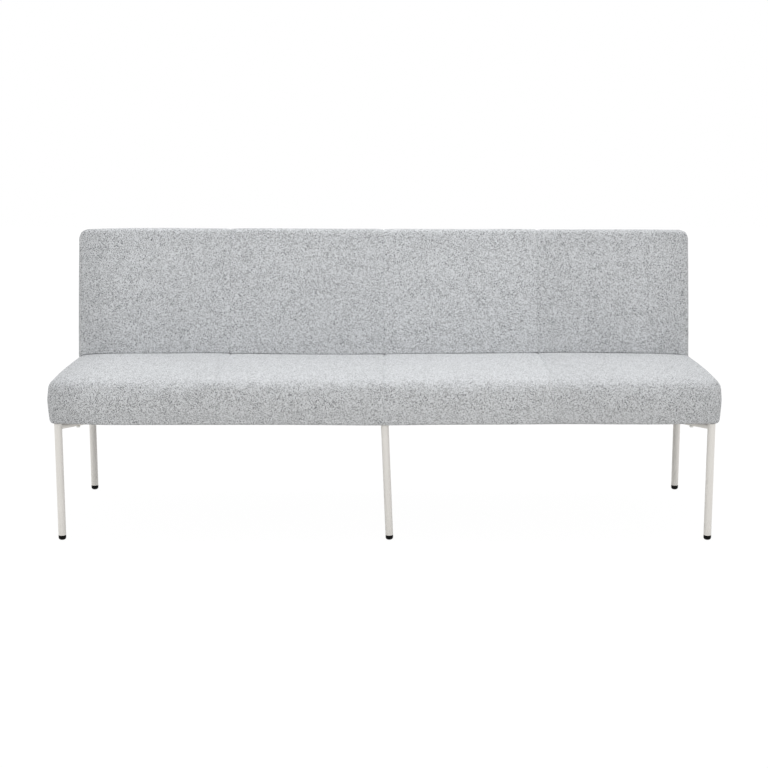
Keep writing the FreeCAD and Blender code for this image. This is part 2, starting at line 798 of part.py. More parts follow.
def make_upholstery(parts):
    """Foam, covers and dust cover."""
    skin = cover_thickness
    foam_skin = cover_thickness + cover_clearance
    seat_outer = seat_form(0.0)
    slots = group([bracket(x, bracket_slot_clearance) for x in bracket_places()])
    opening_end = frame_end - cover_hem
    opening = box(-opening_end, opening_end, frame_front + cover_hem, frame_rear - cover_hem,
                  cover_bottom - cut_margin, frame_bottom + cut_margin)
    parts["seat_cover"] = seat_outer.cut(seat_form(skin)).cut(opening).cut(slots)
    pockets = bracket_pockets(pocket_clearance)
    frame_space = box(-frame_end, frame_end, frame_front, frame_rear, frame_bottom - cut_margin, deck_top)
    parts["seat_foam"] = seat_form(foam_skin).cut(frame_space).cut(pockets)
    margin = dust_cover_margin
    dust_cover = box(-frame_end + margin, frame_end - margin, frame_front + margin, frame_rear - margin,
                     seat_underside, cover_bottom)
    parts["seat_dust_cover"] = dust_cover.cut(plate_holes())
    near_seat = seat_form(-cover_clearance)
    back_outer = back_form(0.0).cut(near_seat)
    back_inner = back_form(skin).cut(seat_form(-cover_clearance - skin))
    parts["back_cover"] = back_outer.cut(back_inner).cut(slots)
    frame_space = slope_block(-back_frame_end, back_frame_end, back_front_padding, stile_rear,
                              back_frame_start, back_frame_top)
    foam = back_form(foam_skin).cut(seat_form(-foam_skin - cover_clearance))
    parts["back_foam"] = foam.cut(frame_space).cut(pockets)


def build():
    """Every piece of the sofa, by the name of its node."""
    parts = {}
    make_legs(parts)
    make_seat_frame(parts)
    make_brackets(parts)
    make_back_frame(parts)
    make_upholstery(parts)
    return parts


def main():
    """Moves the pieces to the origin and writes one file for each."""
    parts = build()
    front = parts["seat_cover"].optimalBoundingBox().YMin
    rear = parts["back_cover"].optimalBoundingBox().YMax
    os.makedirs("parts", exist_ok=True)
    for name, shape in parts.items():
        shape.translate(V(0, -(front + rear) / 2, 0))
        shape.exportStep("parts/%s.step" % name)
        state = "valid" if shape.isValid() else "NOT VALID"
        print(name, len(shape.Solids), state, round(shape.Volume / 1000, 1), "cm3")
    print("depth %.1f, front legs at y %.1f" % (rear - front, -(front + rear) / 2))


main()
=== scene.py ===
import math

import bpy
from mathutils import Matrix, Vector, noise


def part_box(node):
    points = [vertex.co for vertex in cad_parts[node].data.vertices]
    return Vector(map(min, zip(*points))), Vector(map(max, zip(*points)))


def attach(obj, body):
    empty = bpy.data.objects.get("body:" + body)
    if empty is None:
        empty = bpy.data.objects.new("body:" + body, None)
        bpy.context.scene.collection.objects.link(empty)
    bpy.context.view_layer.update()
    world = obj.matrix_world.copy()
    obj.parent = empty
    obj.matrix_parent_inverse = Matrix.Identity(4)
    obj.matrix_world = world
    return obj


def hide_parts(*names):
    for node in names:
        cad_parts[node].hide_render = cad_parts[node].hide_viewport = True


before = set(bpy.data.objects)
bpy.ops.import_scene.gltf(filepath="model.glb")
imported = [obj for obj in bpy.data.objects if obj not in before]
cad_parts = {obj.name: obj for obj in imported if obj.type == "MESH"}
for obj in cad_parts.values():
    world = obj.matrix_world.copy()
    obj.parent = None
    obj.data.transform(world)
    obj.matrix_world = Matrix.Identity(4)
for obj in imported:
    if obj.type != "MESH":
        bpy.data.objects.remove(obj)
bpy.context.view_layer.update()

bl_info = {
    "name": "Dining sofa",
    "version": (1, 0, 0),
    "blender": (4, 5, 0),
    "location": "View3D > Sidebar > Sofa",
    "description": "Upholsters and finishes a dining sofa on steel legs round its CAD frame",
    "category": "Object",
}

SEAT_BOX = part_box("seat_cover")
BACK_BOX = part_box("back_cover")
DUST_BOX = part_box("seat_dust_cover")
BODY = "root"
SAME_LENGTH = 1e-5
WHITE = (1.0, 1.0, 1.0, 1.0)

# Mesh and cloth of the padded pieces
EDGE_SEGMENTS = 6
CUT_THRESHOLD = 0.00002
SEAM_LOOPS = (-4.0, -2.0, -1.0, -0.4, 0.0, 0.4, 1.0, 2.0, 4.0)
CLOTH_VALUES = {
    "quality": 4, "mass": 0.3, "tension_stiffness": 40, "compression_stiffness": 40, "shear_stiffness": 20,
    "bending_stiffness": 2, "use_pressure": True,
}
SWELL_FRAMES = 20

# Seams: the loose cover beside them, the dip round their crease, and their gathers
SEAM_TIGHT = 0.004
SEAM_LOOSE = 0.06
SEAM_REACH = 0.05
DIP_SHARE = 0.45
DIP_WIDTH = 6
PUCKER_PLACE = 4.0
PUCKER_REACH = 3.0
PUCKER_SCALE_ACROSS = 14.0
PUCKER_SCALE_ALONG = 60.0

# Slight rises and dips along the sofa: place, height and width
REAR_HILLS = ((-0.56, 0.0018, 0.12), (-0.18, -0.0026, 0.19), (0.53, 0.0036, 0.18))
BACK_HILLS = ((-1.0, -0.0060, 0.13),)
EDGE_HILLS = ((-0.03, 0.0020, 0.16), (0.52, -0.0012, 0.12))

# Seat: reaches in metres, and shares of its depth or of its height
FRONT_TURN_REACH = 0.075
FRONT_ROLL_REACH = 0.06
FRONT_REACH = 0.09
END_REACH = 0.07
FALL_DEPTHS = (0.35, 0.8)
HILL_DEPTHS = (0.3, 0.8)
TOP_DRAW_DEPTHS = (0.4, 0.75)
FRONT_DRAW_RISE = 0.85
END_DRAW_RISE = 0.65
HANG_RISE = 0.2
HANG_START = 0.008
HANG_FINISH = 0.016
HANG_SLOPE = 0.35
HANG_END_LOSS = 0.9
HANG_END_START = 0.18
HANG_END_FINISH = 0.04
SEAT_WAVES = (0.0006, 7.0)  # height and scale
SEAT_LOOSE_START = 0.006
SEAT_LOOSE_FINISH = 0.05
SEAT_SEWN_START = 0.002
SEAT_SEWN_FINISH = 0.02
SEAT_STILL = 0.01
UNDER_BACK_REACH = 0.02
REAR_LOOSENESS = 0.5
REAR_LOOSE_START = 0.03
REAR_LOOSE_FINISH = 0.005

# Back
BACK_CAD_ROUND = 0.018
BACK_FOOT_REACH = 0.05
BACK_TOP_REACH = 0.15
BACK_TOP_TIGHT = 0.01
BACK_REAR_CROWN = 0.4
BACK_REAR_TIGHTNESS = 0.4
BACK_WAVES = (0.0007, 6.0)  # height and scale
BACK_WAVE_PLACE = Vector((0.0, 0.0, 0.7))

# Waves of the padding under its fabric
WAVE_SHARE = 0.5
WAVE_RATIO = 2.7
WAVE_SHIFT = Vector((5.2, 1.3, 8.4))
WAVE_DIRECTION = Vector((0.0, -0.5, 1.0))

# How the fabric is cut and laid
FRONT_TURN = (0.01, 0.06)
OVER_TOP = (0.35, 0.65)
DOWN_REAR = (0.3, 0.7)
# Painted light: between these slopes upward faces get the lighter, evener weave of the lit top.
TOP_LIGHT_SLOPES = (0.5, 0.95)
END_PANEL_SLOPE = 0.8
SEAT_CUT_PLACE = 0.0
BACK_CUT_PLACE = 0.613
PANEL_CUT_SHIFT = (0.377, 0.119)
CUT_SLANT = 0.5

# Dust cover, its hem and its staples
DUST_THICKNESS = 0.0004
DUST_FACES_X = 150
DUST_FACES_Y = 48
DUST_SAG = 0.0012
DUST_SAG_REACH = (0.01, 0.12)
DUST_SAG_SCALE = 9.0
HEM_WIDTH = 0.015
STAPLE_INSET = 0.007
STAPLE_PITCH = 0.055
STAPLE_CORNER = 0.02
STAPLE_SIZE = (0.011, 0.0012, 0.0005)
STAPLE_BEVEL = 0.0002
STAPLE_ASKEW = 7.0
STAPLE_CHANCE_STEP = 3.7
STAPLE_CHANCE_PLACE = (1.9, 0.4)

# Weave: shares of its tone, of its relief and of the shade in its gaps
WANDER_SCALE = 28.0
WANDER_WIDTH = (0.004, 0.004, 0.0)
WARP_STREAK = (7.31, 0.31)
WEFT_STREAK = (0.25, 5.17)
CELL_TONE = 0.80
STREAK_TONE = 0.25
CLOUD_TONE = 0.20
CLOUD_SCALE = 22.0
TONE_DARK = 0.21
TONE_LIGHT = 0.44
# Painted light: the tone that upward faces are drawn towards, as the lit top looks.
TOP_LIGHT_TONE = 0.75
YARN_SWELL = 0.6
YARN_FLAT = 0.4
FUZZ_SCALE = 1500.0
FUZZ_RELIEF = 0.35
TONE_RELIEF = 0.35
GAP_SHADE = 0.80
RELIEF_SHADE = 0.28
SHADE_LIMIT = 1.06
NOISE_MIDDLE = 0.5

# Other finishes: dark and light tones, shares of tone, and the range and the least of a roughness
PAINT_CLOUDS = (0.97, 1.03)
SCUFFED_PLASTIC = (0.02, 0.02, 0.02, 1.0)
SCUFF_HEIGHT = 0.004
PLASTIC_ROUGHNESS = (0.2, 0.35)
ZINC_TONES = ((0.60, 0.59, 0.55, 1.0), (0.74, 0.73, 0.70, 1.0))
ZINC_ROUGHNESS = (0.2, 0.25)
LACQUER_TONES = ((0.03, 0.03, 0.03, 1.0), (0.06, 0.06, 0.06, 1.0))
WOOD_RING_TONE = 0.75
WOOD_FIBRE_TONE = 0.35
DUST_DOT_TONE = 0.5
DUST_FIBRE_TONE = 0.6
DUST_LIGHT_SHARE = 3.0
FLOOR_TONES = ((0.70, 0.69, 0.672, 1.0), (0.715, 0.705, 0.687, 1.0))


def metres(name, description, default):
    """A setting that is a length in metres."""
    return bpy.props.FloatProperty(name=name, description=description, default=default, unit="LENGTH")


def dye(name, description, default):
    """A setting that is a colour."""
    return bpy.props.FloatVectorProperty(name=name, description=description, subtype="COLOR", default=default)


class SofaUpholstery(bpy.types.PropertyGroup):
    """Sizes of the padded seat and back and of their sewn covers."""

    panel_count: bpy.props.IntProperty(
        name="Panels", description="Fabric panels sewn side by side along the sofa", default=4, min=1)
    seat_front_height: metres("Seat front height", "Top of the seat at its front edge", 0.4725)
    seat_rear_height: metres("Seat rear height", "Top of the seat at its rear edge", 0.447)
    seat_crown: metres("Seat crown", "Rise of the seat between front and rear", 0.0065)
    seat_front_draw: metres("Front draw-in", "How far the lower front edge is pulled in", 0.009)
    seat_end_draw: metres("End draw-in", "How far the lower end edges are pulled in", 0.003)
    seat_top_draw: metres("Top draw-in", "How far the upper end edges are pulled in", 0.0055)
    seat_front_turn: metres("Front turn", "How far the front turns back towards its ends", 0.003)
    seat_front_bulge: metres("Front bulge", "Swell of the seat's front", 0.0015)
    seat_front_roll: metres("Front roll", "How far the top falls away towards the front edge", 0.0035)
    seat_edge_hang: metres("Edge hang", "How far the lower front edge hangs", 0.0033)
    seat_edge_round: metres("Seat front edge", "Radius of the seat's upper front edge", 0.0235)
    seat_end_round: metres("Seat end edge", "Radius of the seat's upper end edges", 0.024)
    seat_rear_round: metres("Seat rear edge", "Radius of the seat's upper rear edge", 0.016)
    seat_corner_round: metres("Seat corner", "Radius of the seat's upright corners", 0.030)
    seat_lower_round: metres("Seat lower edge", "Radius of the seat's lower edges", 0.010)
    seat_end_fall: metres("End fall", "How much lower the seat's rear lies at its ends", 0.0060)
    seat_end_reach: metres("End reach", "How far in from an end the seat begins to fall", 0.15)
    seat_end_bow: metres("End bow", "How far each end bows out between its corners", 0.0035)
    seat_offset: metres("Seat offset", "How far the padding sits off the sofa's middle", -0.0007)
    back_recline: bpy.props.FloatProperty(
        name="Recline", description="Lean of the back", default=math.radians(12.3), subtype="ANGLE")
    back_height: metres("Back height", "Height of the back along its slope", 0.3960)
    back_thickness: metres("Back thickness", "Thickness of the padded back", 0.075)
    back_foot_level: metres("Back foot level", "Where the back's front face meets the seat", 0.453)
    back_gap: metres("Back gap", "Between the back's lower edge and the seat", 0.0003)
    back_bulge: metres("Back bulge", "Swell of the back's front face", 0.0008)
    back_fall: metres("Back fall", "How much lower the back's top is at its right end", 0.0060)
    back_edge_round: metres("Back edge", "Radius of the back's top edges", 0.0145)
    back_end_round: metres("Back end edge", "Radius of the back's upper corners", 0.030)
    back_corner_round: metres("Back corner", "Radius of the back's side edges", 0.018)
    back_lower_round: metres("Back lower edge", "Radius of the back's lower edges", 0.003)
    mesh_size: metres("Mesh size", "Width of the faces that the cloth is simulated with", 0.0125)
    pressure: bpy.props.FloatProperty(
        name="Pressure", description="How hard the padding presses on its cover", default=4.0)
    end_swell: metres("End swell", "How far the padding stands out at the sofa's ends", 0.0004)
    back_offset: metres("Back offset", "How far the back sits off the sofa's middle", -0.0035)
    swell_cap: metres("Swell", "The most that a cover may stand out between its seams", 0.0035)
    seam_depth: metres("Seam depth", "Depth of the crease at a seam", 0.0022)
    seam_width: metres("Seam width", "Half width of the crease at a seam", 0.0026)
    pucker_height: metres("Puckers", "Height of the small gathers beside a seam", 0.0010)


class SofaFinish(bpy.types.PropertyGroup):
    """Colours and fine sizes of the finishes."""

    yarn_light: dye("Light yarn", "Colour of the light yarns", (0.653, 0.667, 0.683))
    yarn_dark: dye("Dark yarn", "Colour of the dark yarns", (0.108, 0.112, 0.121))
    yarn_pitch: metres("Yarn pitch", "Distance between yarns", 0.0015)
    panel_shades: bpy.props.FloatVectorProperty(
        name="Panel shades", description="How light each panel's cut of fabric is, from left to right",
        size=4, default=(0.982, 1.0, 1.024, 0.97))
    # Painted light: upward faces get a lighter, evener weave, in place of how the brightly lit top looks.
    top_painted_light: bpy.props.FloatProperty(
        name="Top painted light", description="How far sitting has evened out the yarns on top", default=0.22)
    # Painted shade: the fabric's colour is made darker towards the left and right ends, in place of the light
    # that falls off there.
    end_painted_shade: bpy.props.FloatVectorProperty(
        name="End painted shade", description="How much darker hands have made the left and right ends", size=2,
        default=(0.14, 0.075))
    # Painted shade: how far in from an end the painted darkening reaches.
    end_painted_shade_reach: metres("End painted shade reach", "How far in from an end that wear goes", 0.17)
    leg_paint: dye("Leg paint", "Powder coat of the legs", (0.760, 0.740, 0.705))
    glide_plastic: dye("Glides", "Black plastic of the glides", (0.003, 0.003, 0.0035))
    dust_fabric: dye("Dust cover", "Nonwoven fabric under the seat", (0.018, 0.018, 0.020))


class SofaStage(bpy.types.PropertyGroup):
    """Camera and light."""

    camera_side: metres("Camera side", "To the right of the sofa's middle", -0.0024)
    camera_distance: metres("Camera distance", "From the sofa's middle to the camera", 5.0325)
    camera_height: metres("Camera height", "Above the floor", 1.4057)
    camera_tilt: bpy.props.FloatProperty(
        name="Camera tilt", description="Downwards", default=math.radians(11.35), subtype="ANGLE")
    camera_lens: bpy.props.FloatProperty(name="Lens", description="Focal length in millimetres", default=80.0)
    camera_sensor: bpy.props.FloatProperty(name="Sensor", description="Width in millimetres", default=36.0)
    world_light: bpy.props.FloatProperty(name="Room light", description="Soft light all round", default=1.0)
    top_light: bpy.props.FloatProperty(name="Top lamp", description="Power in watts", default=132.0)
    top_size: metres("Top lamp size", "Side of the lamp overhead", 2.5)
    top_height: metres("Top lamp height", "Above the floor", 6.0)
    top_behind: metres("Top lamp place", "Behind the sofa's middle", 0.4)
    top_tilt: bpy.props.FloatProperty(
        name="Top lamp tilt", description="Towards the front", default=math.radians(4.0), subtype="ANGLE")
    floor_size: metres("Floor size", "Side of the floor", 16.0)
    floor_share: bpy.props.FloatProperty(
        name="Floor white", description="How much of the floor by the sofa is seen white", default=0.95)
    floor_white: bpy.props.FloatProperty(name="White", description="Strength of that white", default=1.03)
    floor_fade: bpy.props.FloatVectorProperty(
        name="Floor fade", description="Where the floor begins to fade into white, and where it is white",
        size=2, default=(1.5, 4.0))


def settings(group):
    """The user's settings of one group."""
    return getattr(bpy.context.scene, group)


def clear_selection():
    """Leaves edit mode and deselects every object."""
    if bpy.context.object and bpy.context.object.mode != "OBJECT":
        bpy.ops.object.mode_set(mode="OBJECT")
    bpy.ops.object.select_all(action="DESELECT")


def activate(piece):
    """Selects one piece alone."""
    clear_selection()
    piece.select_set(True)
    bpy.context.view_layer.objects.active = piece


def apply_transform(piece):
    """Puts a piece's place, turn and scale into its mesh."""
    activate(piece)
    bpy.ops.object.transform_apply(location=True, rotation=True, scale=True)


def add_block(name, low, high):
    """Adds a block between two corners."""
    clear_selection()
    bpy.ops.mesh.primitive_cube_add(size=1.0, location=(Vector(low) + Vector(high)) / 2)
    piece = bpy.context.object
    piece.name = name
    piece.scale = Vector(high) - Vector(low)
    apply_transform(piece)
    return piece


def apply_modifier(piece, kind, **values):
    """Adds a modifier with some values and applies it."""
    activate(piece)
    modifier = piece.modifiers.new(kind.title(), kind)
    for name, value in values.items():
        setattr(modifier, name, value)
    bpy.ops.object.modifier_apply(modifier=modifier.name)


def move_points(piece, rule):
    """Moves every point of a piece by a rule, as when its padding is worked by hand."""
    for point in piece.data.vertices:
        point.co = rule(point.co.copy())
    piece.data.update()


def near(a, b):
    """True for two lengths that are the same."""
    return abs(a - b) < SAME_LENGTH


def ramp(value, start, end):
    """0 before a start, 1 after an end, and a smooth rise between."""
    t = max(0.0, min(1.0, (value - start) / (end - start)))
    return t * t * (3 - 2 * t)


def seam_places():
    """Where the seams run across the sofa."""
    count = settings("sofa_upholstery").panel_count
    width = SEAT_BOX[1].x - SEAT_BOX[0].x
    return [width * (i / count - 0.5) for i in range(1, count)]


def seam_distance(x):
    """Distance of a place along the sofa from the nearest seam."""
    return min(abs(x - seam) for seam in seam_places())


def rounded_block(name, low, high, radius):
    """Adds a block with each edge rounded by what radius gives for the edge's middle."""
    piece = add_block(name, low, high)
    mesh = piece.data
    ends = [[mesh.vertices[index].co for index in edge.vertices] for edge in mesh.edges]
    radii = [radius((first + last) / 2) for first, last in ends]
    weights = mesh.attributes.new("bevel_weight_edge", "FLOAT", "EDGE")
    for item, value in zip(weights.data, radii):
        item.value = value / max(radii)
    apply_modifier(piece, "BEVEL", limit_method="WEIGHT", offset_type="OFFSET", width=max(radii),
                   segments=EDGE_SEGMENTS)
    return piece


def even_places(start, end, step):
    """Evenly spaced places between a start and an end, about a step apart, both ends included."""
    count = max(1, round((end - start) / step))
    return [start + (end - start) * i / count for i in range(count + 1)]


def cut_across(piece, axis, places):
    """Cuts loops of edges into a piece, square to one axis."""
    activate(piece)
    bpy.ops.object.mode_set(mode="EDIT")
    bpy.ops.mesh.select_mode(type="FACE")
    normal = [float(i == axis) for i in range(3)]
    for place in places:
        bpy.ops.mesh.select_all(action="SELECT")
        plane = [place * part for part in normal]
        bpy.ops.mesh.bisect(plane_co=plane, plane_no=normal, threshold=CUT_THRESHOLD)
    bpy.ops.object.mode_set(mode="OBJECT")


def padded_block(name, low, high, radius, margins):
    """Adds a rounded block with an even mesh, ready for its cloth.

    margins are what its rounded edges take up of it along x, y and z, at the low and the high end.
    """
    size = settings("sofa_upholstery").mesh_size
    piece = rounded_block(name, low, high, radius)
    for axis, (before, after) in enumerate(margins):
        cut_across(piece, axis, even_places(low[axis] + before, high[axis] - after, size))
    return piece


def swell(piece, free):
    """Blows the cover up like padding under tension, pinned where it is sewn or tacked down.

    free says how loose a point is, from 0 at a seam to 1 in the middle of a panel.
    """
    values = settings("sofa_upholstery")
    start = [point.co.copy() for point in piece.data.vertices]
    pins = piece.vertex_groups.new(name="pinned")
    for point in piece.data.vertices:
        pins.add([point.index], 1.0 - free(point.co), "REPLACE")
    activate(piece)
    cloth = piece.modifiers.new("Cloth", "CLOTH")
    for name, value in CLOTH_VALUES.items():
        setattr(cloth.settings, name, value)
    cloth.settings.uniform_pressure_force = values.pressure
    cloth.settings.vertex_group_mass = pins.name
    cloth.settings.effector_weights.gravity = 0
    cloth.collision_settings.use_collision = False
    cloth.point_cache.frame_start = 1
    cloth.point_cache.frame_end = SWELL_FRAMES
    scene = bpy.context.scene
    for step in range(1, SWELL_FRAMES + 1):
        scene.frame_set(step)
    shaped = piece.evaluated_get(bpy.context.evaluated_depsgraph_get()).data
    ends = [point.co.copy() for point in shaped.vertices]
    piece.modifiers.remove(cloth)
    scene.frame_set(1)
    cap = values.swell_cap
    for point, first, last in zip(piece.data.vertices, start, ends):
        move = last - first
        length = move.length
        if length > 0:
            point.co = first + move * (cap * math.tanh(length / cap) / length)
    piece.vertex_groups.remove(pins)


def cut_seams(piece):
    """Cuts fine loops of edges into a cover beside each of its seams."""
    width = settings("sofa_upholstery").seam_width
    cut_across(piece, 0, [seam + step * width for seam in seam_places() for step in SEAM_LOOPS])


def sew_seams(piece, tight):
    """Pulls a cover in along its seams: a sharp crease with a soft dip round it.

    tight says how much of the seam's depth a point gets.
    """
    values = settings("sofa_upholstery")
    seams = seam_places()
    normals = [point.normal.copy() for point in piece.data.vertices]
    for point, normal in zip(piece.data.vertices, normals):
        x = point.co.x
        apart = min(abs(x - seam) for seam in seams)
        if apart > SEAM_REACH:
            continue
        crease = values.seam_depth * math.exp(-((apart / values.seam_width) ** 2))
        dip = DIP_SHARE * values.seam_depth * math.exp(-((apart / (DIP_WIDTH * values.seam_width)) ** 2))
        beside = math.exp(-((apart / values.seam_width - PUCKER_PLACE) / PUCKER_REACH) ** 2)
        scaled = (x * PUCKER_SCALE_ACROSS, point.co.y * PUCKER_SCALE_ALONG, point.co.z * PUCKER_SCALE_ALONG)
        gather = noise.noise(Vector(scaled))
        pull = (crease + dip - values.pucker_height * beside * gather) * tight(point.co)
        inward = Vector((0.0, normal.y, normal.z))
        point.co -= inward * pull
    piece.data.update()


def developed(depth, height, low, high):
    """Length of fabric from a cover's lower front edge, up its front, over its top and down its rear."""
    deep = high[0] - low[0]
    tall = high[1] - low[1]
    front = (height - low[1]) + (depth - low[0]) * (2 * ramp(height - low[1], *FRONT_TURN) - 1)
    rear = tall + (depth - low[0]) + (high[1] - height)
    behind = ramp(depth, low[0] + OVER_TOP[0] * deep, low[0] + OVER_TOP[1] * deep)
    over = front * (1 - behind) + rear * behind
    down = tall + 2 * deep + (high[1] - height) - (depth - low[0])
    turned = ramp(high[1] - height, DOWN_REAR[0] * tall, DOWN_REAR[1] * tall) * behind
    return over * (1 - turned) + down * turned


def lay_weave(piece, low, high, start):
    """Lays the fabric on a cover: a UV map in metres, along and across each sewn panel.

    It also marks how light each panel's cut is, paints shade darker towards the sofa's ends, and marks upward
    faces whose weave is painted lighter and evener, in place of how the lit top looks.
    """
    values = settings("sofa_upholstery")
    finish = settings("sofa_finish")
    panel = (SEAT_BOX[1].x - SEAT_BOX[0].x) / values.panel_count
    mesh = piece.data
    layer = mesh.uv_layers.new(name="weave")
    shades = mesh.attributes.new("panel_shade", "FLOAT", "FACE")
    # Painted light: marks upward faces, whose weave is made lighter and evener as the lit top looks.
    wear_and_top_light = mesh.attributes.new("wear_and_top_light", "FLOAT", "POINT")
    for item, point in zip(wear_and_top_light.data, mesh.vertices):
        item.value = ramp(point.normal.z, *TOP_LIGHT_SLOPES)
    end = max(point.co.x for point in mesh.vertices)
    for face in mesh.polygons:
        index = math.floor(face.center.x / panel + values.panel_count / 2)
        index = max(0, min(values.panel_count - 1, index))
        # Painted shade: the colour darkens towards the left and right ends, where less light falls.
        painted_end_shade = 1 - ramp(end - abs(face.center.x), 0.0, finish.end_painted_shade_reach)
        painted_end_shade *= finish.end_painted_shade[0 if face.center.x < 0 else 1]
        shade = finish.panel_shades[index % len(finish.panel_shades)]
        shades.data[face.index].value = shade * (1 - painted_end_shade)
        along, across = PANEL_CUT_SHIFT
        shift = Vector((start + along * index, across * index + CUT_SLANT * start))
        end_panel = abs(face.normal.x) > END_PANEL_SLOPE
        for loop in face.loop_indices:
            point = mesh.vertices[mesh.loops[loop].vertex_index].co
            if end_panel:
                flat = Vector((point.y, point.z))
            else:
                flat = Vector((point.x, developed(point.y, point.z, low, high)))
            layer.data[loop].uv = flat + shift


def hills(x, rows):
    """Slight rises and dips along the sofa, each with its place, height and width."""
    return sum(height * math.exp(-(((x - place) / width) ** 2)) for place, height, width in rows)


def shape_seat(point, low, high):
    """Rule for the seat's padding: sloped and crowned on top, drawn in at its lower edges."""
    values = settings("sofa_upholstery")
    depth = (point.y - low.y) / (high.y - low.y)
    rise = (point.z - low.z) / (high.z - low.z)
    fall = (values.seat_front_height - values.seat_rear_height) * depth
    top = values.seat_front_height - fall + 4 * values.seat_crown * depth * (1 - depth)
    outward = max(0.0, 1 - (high.x - abs(point.x)) / values.seat_end_reach)
    top -= values.seat_end_fall * outward * outward * ramp(depth, *FALL_DEPTHS)
    top += hills(point.x, REAR_HILLS) * ramp(depth, *HILL_DEPTHS)
    top -= values.seat_front_roll * max(0.0, 1 - (point.y - low.y) / FRONT_ROLL_REACH) ** 2
    point.z = low.z + rise * (top - low.z)
    front_drawn = max(0.0, 1 - rise / FRONT_DRAW_RISE) ** 2
    end_drawn = values.seat_end_draw * max(0.0, 1 - rise / END_DRAW_RISE) ** 2
    end_drawn += values.seat_top_draw * max(0.0, 2 * rise - 1) ** 2 * (1 - ramp(depth, *TOP_DRAW_DEPTHS))
    bulge = values.seat_front_bulge * (1 - 4 * rise * (1 - rise))
    front = 1 - ramp(point.y, low.y, low.y + FRONT_REACH)
    end = ramp(abs(point.x), high.x - END_REACH, high.x)
    edge = (1 - ramp(rise, 0.0, HANG_RISE)) * (1 - ramp(point.y, low.y + HANG_START, low.y + HANG_FINISH))
    hang = values.seat_edge_hang * (1 - HANG_SLOPE * point.x / high.x) + hills(point.x, EDGE_HILLS)
    hang *= 1 - HANG_END_LOSS * ramp(abs(point.x), high.x - HANG_END_START, high.x - HANG_END_FINISH)
    point.z -= hang * edge
    turned = max(0.0, 1 - (high.x - abs(point.x)) / FRONT_TURN_REACH) ** 2
    point.y += (values.seat_front_draw * front_drawn + bulge + values.seat_front_turn * turned) * front
    bow = values.seat_end_bow * (1 - (2 * depth - 1) ** 4)
    point.x += math.copysign(1.0, point.x) * (bow - end_drawn) * end
    return point


def make_seat_cover():
    """Seat cover: padded block, swollen between its seams, sewn and covered with fabric."""
    values = settings("sofa_upholstery")
    proud = values.end_swell
    low = Vector(SEAT_BOX[0]) - Vector((proud, 0.0, 0.0))
    high = Vector((SEAT_BOX[1].x + proud, SEAT_BOX[1].y, values.seat_front_height))

    def radius(middle):
        """Radius of an edge by where its middle is."""
        if near(middle.z, low.z):
            return values.seat_lower_round
        if near(middle.z, high.z):
            if near(middle.x, 0.0):
                return values.seat_rear_round if near(middle.y, high.y) else values.seat_edge_round
            return values.seat_end_round
        return values.seat_corner_round if near(middle.y, low.y) else values.seat_rear_round

    corner = values.seat_corner_round
    upright = (values.seat_lower_round, values.seat_edge_round)
    margins = ((corner, corner), (corner, values.seat_rear_round), upright)
    piece = padded_block("SeatCover", low, high, radius, margins)
    move_points(piece, lambda p: shape_seat(p, low, high))
    back_front = back_foot_y()

    def free(p):
        """Loose between the seams, tight at the lower edge and under the back."""
        edge = ramp(p.z, low.z + SEAT_LOOSE_START, low.z + SEAT_LOOSE_FINISH)
        seam = ramp(seam_distance(p.x), SEAM_TIGHT, SEAM_LOOSE)
        under_back = 1 - ramp(p.y, back_front - UNDER_BACK_REACH, back_front + UNDER_BACK_REACH)
        rear = REAR_LOOSENESS * ramp(p.y, high.y - REAR_LOOSE_START, high.y - REAR_LOOSE_FINISH)
        return edge * seam * max(under_back, rear)

    swell(piece, free)
    apply_modifier(piece, "SUBSURF", levels=1, render_levels=1)
    cut_seams(piece)
    sew_seams(piece, lambda p: ramp(p.z, low.z + SEAT_SEWN_START, low.z + SEAT_SEWN_FINISH))
    move_points(piece, lambda p: unevenness(p, *SEAT_WAVES, low.z + SEAT_STILL))
    lay_weave(piece, (low.y, low.z), (high.y, high.z), SEAT_CUT_PLACE)
    piece.data.transform(Matrix.Translation((values.seat_offset, 0.0, 0.0)))
    activate(piece)
    bpy.ops.object.shade_smooth()
    dress(piece, cover_fabric())
    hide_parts("seat_cover", "seat_foam")


def unevenness(point, height, scale, floor):
    """Rule for the slight waves that padding has under its fabric."""
    if point.z < floor:
        return point
    wave = noise.noise(point * scale) + WAVE_SHARE * noise.noise(point * (scale * WAVE_RATIO) + WAVE_SHIFT)
    return point + WAVE_DIRECTION * (height * wave)


def shape_back(point, low, high):
    """Rule for the back's padding, before it is leaned: a crown on the front and on the rear."""
    values = settings("sofa_upholstery")
    rise = max(0.0, min(1.0, (point.z - low.z) / (high.z - low.z)))
    across = (point.y - low.y) / (high.y - low.y)
    crown = 4 * values.back_bulge * rise * (1 - rise)
    point.y += -crown * (1 - across) + BACK_REAR_CROWN * crown * across
    point.z -= rise * (values.back_fall * (1 + point.x / high.x) / 2 - hills(point.x, BACK_HILLS))
    return point


